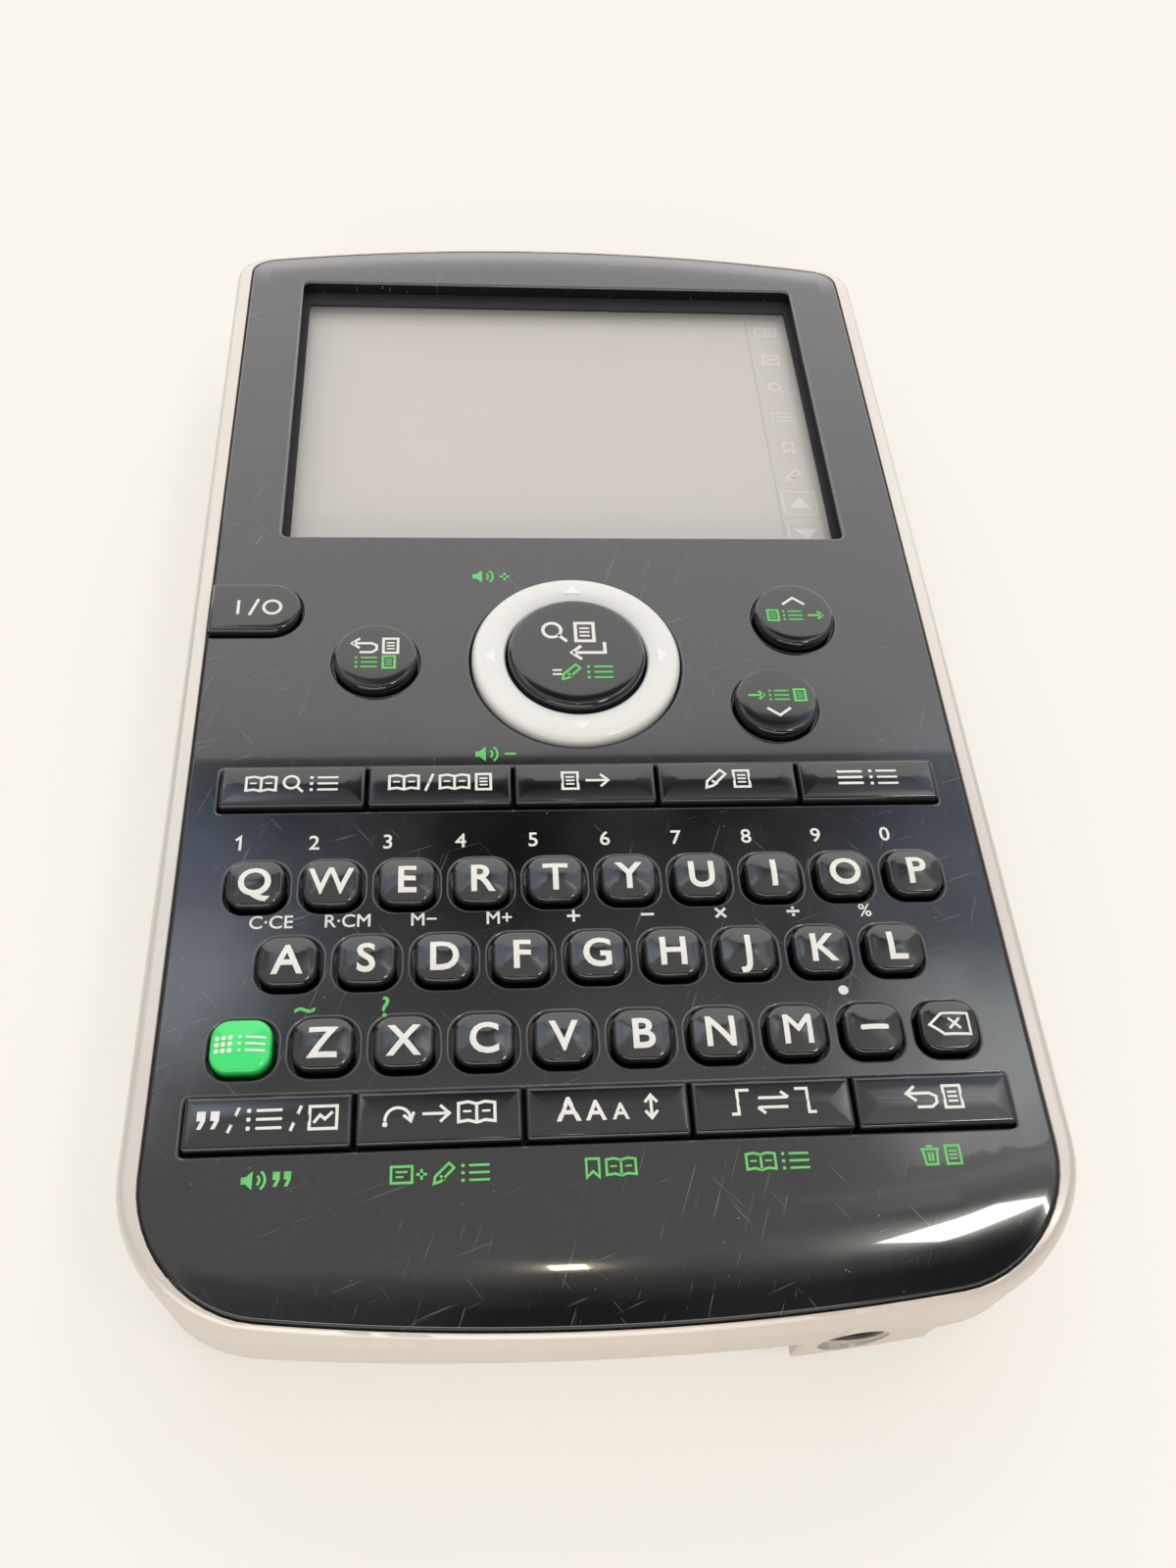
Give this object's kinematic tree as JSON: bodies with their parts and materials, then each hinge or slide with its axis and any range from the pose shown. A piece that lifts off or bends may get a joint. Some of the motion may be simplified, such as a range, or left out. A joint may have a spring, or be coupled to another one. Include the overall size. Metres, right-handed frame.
{
  "type": "electronic dictionary",
  "caption": "Pocket electronic dictionary: one-piece slab with a display, small letter keys, a rocking pad ring, a stylus in a silo and a sliding battery door.",
  "frame": {"origin": "centre of the bounding box's underside, on the flat back of the case", "axes": "+Z out of the front face with the keys, +Y towards the display end, +X to the right as the keys are read"},
  "size_m": [0.0732, 0.1264, 0.0185],
  "materials": {
    "letter_key": "satin black, softly domed",
    "green_key": "satin bright green",
    "gloss_key": "gloss black",
    "pearl_ring": "pearl white paint",
    "black_panel": "piano black gloss",
    "silver_rim": "satin pearl silver paint",
    "silver_rear": "satin silver paint",
    "gasket": "dark foam",
    "touch_glass": "clear, slightly matt",
    "display": "pale grey reflective display",
    "board": "green solder mask",
    "silicone": "translucent grey silicone",
    "speaker_can": "dull steel can",
    "cell_can": "bare metal can",
    "contact_metal": "nickel plated",
    "jack_plastic": "black",
    "stylus_plastic": "silver grey",
    "screw_steel": "dark zinc plated"
  },
  "bodies": {
    "housing": {"front_panel": "black_panel", "rim_frame": "silver_rim", "rear_cover": "silver_rear", "window_gasket": "gasket", "touch_panel": "touch_glass", "lcd_module": "display", "main_board": "board", "keypad_mat": "silicone", "speaker": "speaker_can", "battery_cells": "cell_can", "battery_contacts": "contact_metal", "earphone_jack": "jack_plastic", "case_screws": "screw_steel"},
    "key_a": {"key_a": "letter_key"},
    "key_b": {"key_b": "letter_key"},
    "key_c": {"key_c": "letter_key"},
    "key_d": {"key_d": "letter_key"},
    "key_e": {"key_e": "letter_key"},
    "key_f": {"key_f": "letter_key"},
    "key_g": {"key_g": "letter_key"},
    "key_h": {"key_h": "letter_key"},
    "key_i": {"key_i": "letter_key"},
    "key_j": {"key_j": "letter_key"},
    "key_k": {"key_k": "letter_key"},
    "key_l": {"key_l": "letter_key"},
    "key_m": {"key_m": "letter_key"},
    "key_n": {"key_n": "letter_key"},
    "key_o": {"key_o": "letter_key"},
    "key_p": {"key_p": "letter_key"},
    "key_q": {"key_q": "letter_key"},
    "key_r": {"key_r": "letter_key"},
    "key_s": {"key_s": "letter_key"},
    "key_t": {"key_t": "letter_key"},
    "key_u": {"key_u": "letter_key"},
    "key_v": {"key_v": "letter_key"},
    "key_w": {"key_w": "letter_key"},
    "key_x": {"key_x": "letter_key"},
    "key_y": {"key_y": "letter_key"},
    "key_z": {"key_z": "letter_key"},
    "function_key": {"function_key": "green_key"},
    "dash_key": {"dash_key": "letter_key"},
    "clear_key": {"clear_key": "letter_key"},
    "upper_bar_key_1": {"upper_bar_key_1": "gloss_key"},
    "upper_bar_key_2": {"upper_bar_key_2": "gloss_key"},
    "upper_bar_key_3": {"upper_bar_key_3": "gloss_key"},
    "upper_bar_key_4": {"upper_bar_key_4": "gloss_key"},
    "upper_bar_key_5": {"upper_bar_key_5": "gloss_key"},
    "lower_bar_key_1": {"lower_bar_key_1": "gloss_key"},
    "lower_bar_key_2": {"lower_bar_key_2": "gloss_key"},
    "lower_bar_key_3": {"lower_bar_key_3": "gloss_key"},
    "lower_bar_key_4": {"lower_bar_key_4": "gloss_key"},
    "lower_bar_key_5": {"lower_bar_key_5": "gloss_key"},
    "back_key": {"back_key": "gloss_key"},
    "up_key": {"up_key": "gloss_key"},
    "down_key": {"down_key": "gloss_key"},
    "enter_key": {"enter_key": "gloss_key"},
    "power_key": {"power_key": "gloss_key"},
    "dpad_ring": {"dpad_ring": "pearl_ring"},
    "battery_door": {"battery_door": "silver_rear"},
    "stylus": {"stylus": "stylus_plastic"}
  },
  "joints": [
    {"name": "key_a_press", "type": "slide", "parent": "housing", "child": "key_a", "axis": [0, 0, -1], "range_m": [0, 0.0005], "stiffness_N_per_m": 300, "springref_m": -0.0005},
    {"name": "key_b_press", "type": "slide", "parent": "housing", "child": "key_b", "axis": [0, 0, -1], "range_m": [0, 0.0005], "stiffness_N_per_m": 300, "springref_m": -0.0005},
    {"name": "key_c_press", "type": "slide", "parent": "housing", "child": "key_c", "axis": [0, 0, -1], "range_m": [0, 0.0005], "stiffness_N_per_m": 300, "springref_m": -0.0005},
    {"name": "key_d_press", "type": "slide", "parent": "housing", "child": "key_d", "axis": [0, 0, -1], "range_m": [0, 0.0005], "stiffness_N_per_m": 300, "springref_m": -0.0005},
    {"name": "key_e_press", "type": "slide", "parent": "housing", "child": "key_e", "axis": [0, 0, -1], "range_m": [0, 0.0005], "stiffness_N_per_m": 300, "springref_m": -0.0005},
    {"name": "key_f_press", "type": "slide", "parent": "housing", "child": "key_f", "axis": [0, 0, -1], "range_m": [0, 0.0005], "stiffness_N_per_m": 300, "springref_m": -0.0005},
    {"name": "key_g_press", "type": "slide", "parent": "housing", "child": "key_g", "axis": [0, 0, -1], "range_m": [0, 0.0005], "stiffness_N_per_m": 300, "springref_m": -0.0005},
    {"name": "key_h_press", "type": "slide", "parent": "housing", "child": "key_h", "axis": [0, 0, -1], "range_m": [0, 0.0005], "stiffness_N_per_m": 300, "springref_m": -0.0005},
    {"name": "key_i_press", "type": "slide", "parent": "housing", "child": "key_i", "axis": [0, 0, -1], "range_m": [0, 0.0005], "stiffness_N_per_m": 300, "springref_m": -0.0005},
    {"name": "key_j_press", "type": "slide", "parent": "housing", "child": "key_j", "axis": [0, 0, -1], "range_m": [0, 0.0005], "stiffness_N_per_m": 300, "springref_m": -0.0005},
    {"name": "key_k_press", "type": "slide", "parent": "housing", "child": "key_k", "axis": [0, 0, -1], "range_m": [0, 0.0005], "stiffness_N_per_m": 300, "springref_m": -0.0005},
    {"name": "key_l_press", "type": "slide", "parent": "housing", "child": "key_l", "axis": [0, 0, -1], "range_m": [0, 0.0005], "stiffness_N_per_m": 300, "springref_m": -0.0005},
    {"name": "key_m_press", "type": "slide", "parent": "housing", "child": "key_m", "axis": [0, 0, -1], "range_m": [0, 0.0005], "stiffness_N_per_m": 300, "springref_m": -0.0005},
    {"name": "key_n_press", "type": "slide", "parent": "housing", "child": "key_n", "axis": [0, 0, -1], "range_m": [0, 0.0005], "stiffness_N_per_m": 300, "springref_m": -0.0005},
    {"name": "key_o_press", "type": "slide", "parent": "housing", "child": "key_o", "axis": [0, 0, -1], "range_m": [0, 0.0005], "stiffness_N_per_m": 300, "springref_m": -0.0005},
    {"name": "key_p_press", "type": "slide", "parent": "housing", "child": "key_p", "axis": [0, 0, -1], "range_m": [0, 0.0005], "stiffness_N_per_m": 300, "springref_m": -0.0005},
    {"name": "key_q_press", "type": "slide", "parent": "housing", "child": "key_q", "axis": [0, 0, -1], "range_m": [0, 0.0005], "stiffness_N_per_m": 300, "springref_m": -0.0005},
    {"name": "key_r_press", "type": "slide", "parent": "housing", "child": "key_r", "axis": [0, 0, -1], "range_m": [0, 0.0005], "stiffness_N_per_m": 300, "springref_m": -0.0005},
    {"name": "key_s_press", "type": "slide", "parent": "housing", "child": "key_s", "axis": [0, 0, -1], "range_m": [0, 0.0005], "stiffness_N_per_m": 300, "springref_m": -0.0005},
    {"name": "key_t_press", "type": "slide", "parent": "housing", "child": "key_t", "axis": [0, 0, -1], "range_m": [0, 0.0005], "stiffness_N_per_m": 300, "springref_m": -0.0005},
    {"name": "key_u_press", "type": "slide", "parent": "housing", "child": "key_u", "axis": [0, 0, -1], "range_m": [0, 0.0005], "stiffness_N_per_m": 300, "springref_m": -0.0005},
    {"name": "key_v_press", "type": "slide", "parent": "housing", "child": "key_v", "axis": [0, 0, -1], "range_m": [0, 0.0005], "stiffness_N_per_m": 300, "springref_m": -0.0005},
    {"name": "key_w_press", "type": "slide", "parent": "housing", "child": "key_w", "axis": [0, 0, -1], "range_m": [0, 0.0005], "stiffness_N_per_m": 300, "springref_m": -0.0005},
    {"name": "key_x_press", "type": "slide", "parent": "housing", "child": "key_x", "axis": [0, 0, -1], "range_m": [0, 0.0005], "stiffness_N_per_m": 300, "springref_m": -0.0005},
    {"name": "key_y_press", "type": "slide", "parent": "housing", "child": "key_y", "axis": [0, 0, -1], "range_m": [0, 0.0005], "stiffness_N_per_m": 300, "springref_m": -0.0005},
    {"name": "key_z_press", "type": "slide", "parent": "housing", "child": "key_z", "axis": [0, 0, -1], "range_m": [0, 0.0005], "stiffness_N_per_m": 300, "springref_m": -0.0005},
    {"name": "function_key_press", "type": "slide", "parent": "housing", "child": "function_key", "axis": [0, 0, -1], "range_m": [0, 0.0005], "stiffness_N_per_m": 300, "springref_m": -0.0005},
    {"name": "dash_key_press", "type": "slide", "parent": "housing", "child": "dash_key", "axis": [0, 0, -1], "range_m": [0, 0.0005], "stiffness_N_per_m": 300, "springref_m": -0.0005},
    {"name": "clear_key_press", "type": "slide", "parent": "housing", "child": "clear_key", "axis": [0, 0, -1], "range_m": [0, 0.0005], "stiffness_N_per_m": 300, "springref_m": -0.0005},
    {"name": "upper_bar_key_1_press", "type": "slide", "parent": "housing", "child": "upper_bar_key_1", "axis": [0, 0, -1], "range_m": [0, 0.0005], "stiffness_N_per_m": 300, "springref_m": -0.0005},
    {"name": "upper_bar_key_2_press", "type": "slide", "parent": "housing", "child": "upper_bar_key_2", "axis": [0, 0, -1], "range_m": [0, 0.0005], "stiffness_N_per_m": 300, "springref_m": -0.0005},
    {"name": "upper_bar_key_3_press", "type": "slide", "parent": "housing", "child": "upper_bar_key_3", "axis": [0, 0, -1], "range_m": [0, 0.0005], "stiffness_N_per_m": 300, "springref_m": -0.0005},
    {"name": "upper_bar_key_4_press", "type": "slide", "parent": "housing", "child": "upper_bar_key_4", "axis": [0, 0, -1], "range_m": [0, 0.0005], "stiffness_N_per_m": 300, "springref_m": -0.0005},
    {"name": "upper_bar_key_5_press", "type": "slide", "parent": "housing", "child": "upper_bar_key_5", "axis": [0, 0, -1], "range_m": [0, 0.0005], "stiffness_N_per_m": 300, "springref_m": -0.0005},
    {"name": "lower_bar_key_1_press", "type": "slide", "parent": "housing", "child": "lower_bar_key_1", "axis": [0, 0, -1], "range_m": [0, 0.0005], "stiffness_N_per_m": 300, "springref_m": -0.0005},
    {"name": "lower_bar_key_2_press", "type": "slide", "parent": "housing", "child": "lower_bar_key_2", "axis": [0, 0, -1], "range_m": [0, 0.0005], "stiffness_N_per_m": 300, "springref_m": -0.0005},
    {"name": "lower_bar_key_3_press", "type": "slide", "parent": "housing", "child": "lower_bar_key_3", "axis": [0, 0, -1], "range_m": [0, 0.0005], "stiffness_N_per_m": 300, "springref_m": -0.0005},
    {"name": "lower_bar_key_4_press", "type": "slide", "parent": "housing", "child": "lower_bar_key_4", "axis": [0, 0, -1], "range_m": [0, 0.0005], "stiffness_N_per_m": 300, "springref_m": -0.0005},
    {"name": "lower_bar_key_5_press", "type": "slide", "parent": "housing", "child": "lower_bar_key_5", "axis": [0, 0, -1], "range_m": [0, 0.0005], "stiffness_N_per_m": 300, "springref_m": -0.0005},
    {"name": "back_key_press", "type": "slide", "parent": "housing", "child": "back_key", "axis": [0, 0, -1], "range_m": [0, 0.0005], "stiffness_N_per_m": 300, "springref_m": -0.0005},
    {"name": "up_key_press", "type": "slide", "parent": "housing", "child": "up_key", "axis": [0, 0, -1], "range_m": [0, 0.0005], "stiffness_N_per_m": 300, "springref_m": -0.0005},
    {"name": "down_key_press", "type": "slide", "parent": "housing", "child": "down_key", "axis": [0, 0, -1], "range_m": [0, 0.0005], "stiffness_N_per_m": 300, "springref_m": -0.0005},
    {"name": "enter_key_press", "type": "slide", "parent": "housing", "child": "enter_key", "axis": [0, 0, -1], "range_m": [0, 0.0005], "stiffness_N_per_m": 300, "springref_m": -0.0005},
    {"name": "power_key_press", "type": "slide", "parent": "housing", "child": "power_key", "axis": [0, 0, -1], "range_m": [0, 0.0005], "stiffness_N_per_m": 300, "springref_m": -0.0005},
    {"name": "dpad_ring_rock", "type": "hinge", "parent": "housing", "child": "dpad_ring", "pos_m": [0, -0.00225, 0.016], "axis": [1, 0, 0], "range_deg": [-2, 2], "stiffness_Nm_per_rad": 0.12},
    {"name": "battery_door_slide", "type": "slide", "parent": "housing", "child": "battery_door", "axis": [0, -1, 0], "range_m": [0, 0.03]},
    {"name": "stylus_slide", "type": "slide", "parent": "housing", "child": "stylus", "axis": [0, 1, 0], "range_m": [0, 0.068]}
  ]
}
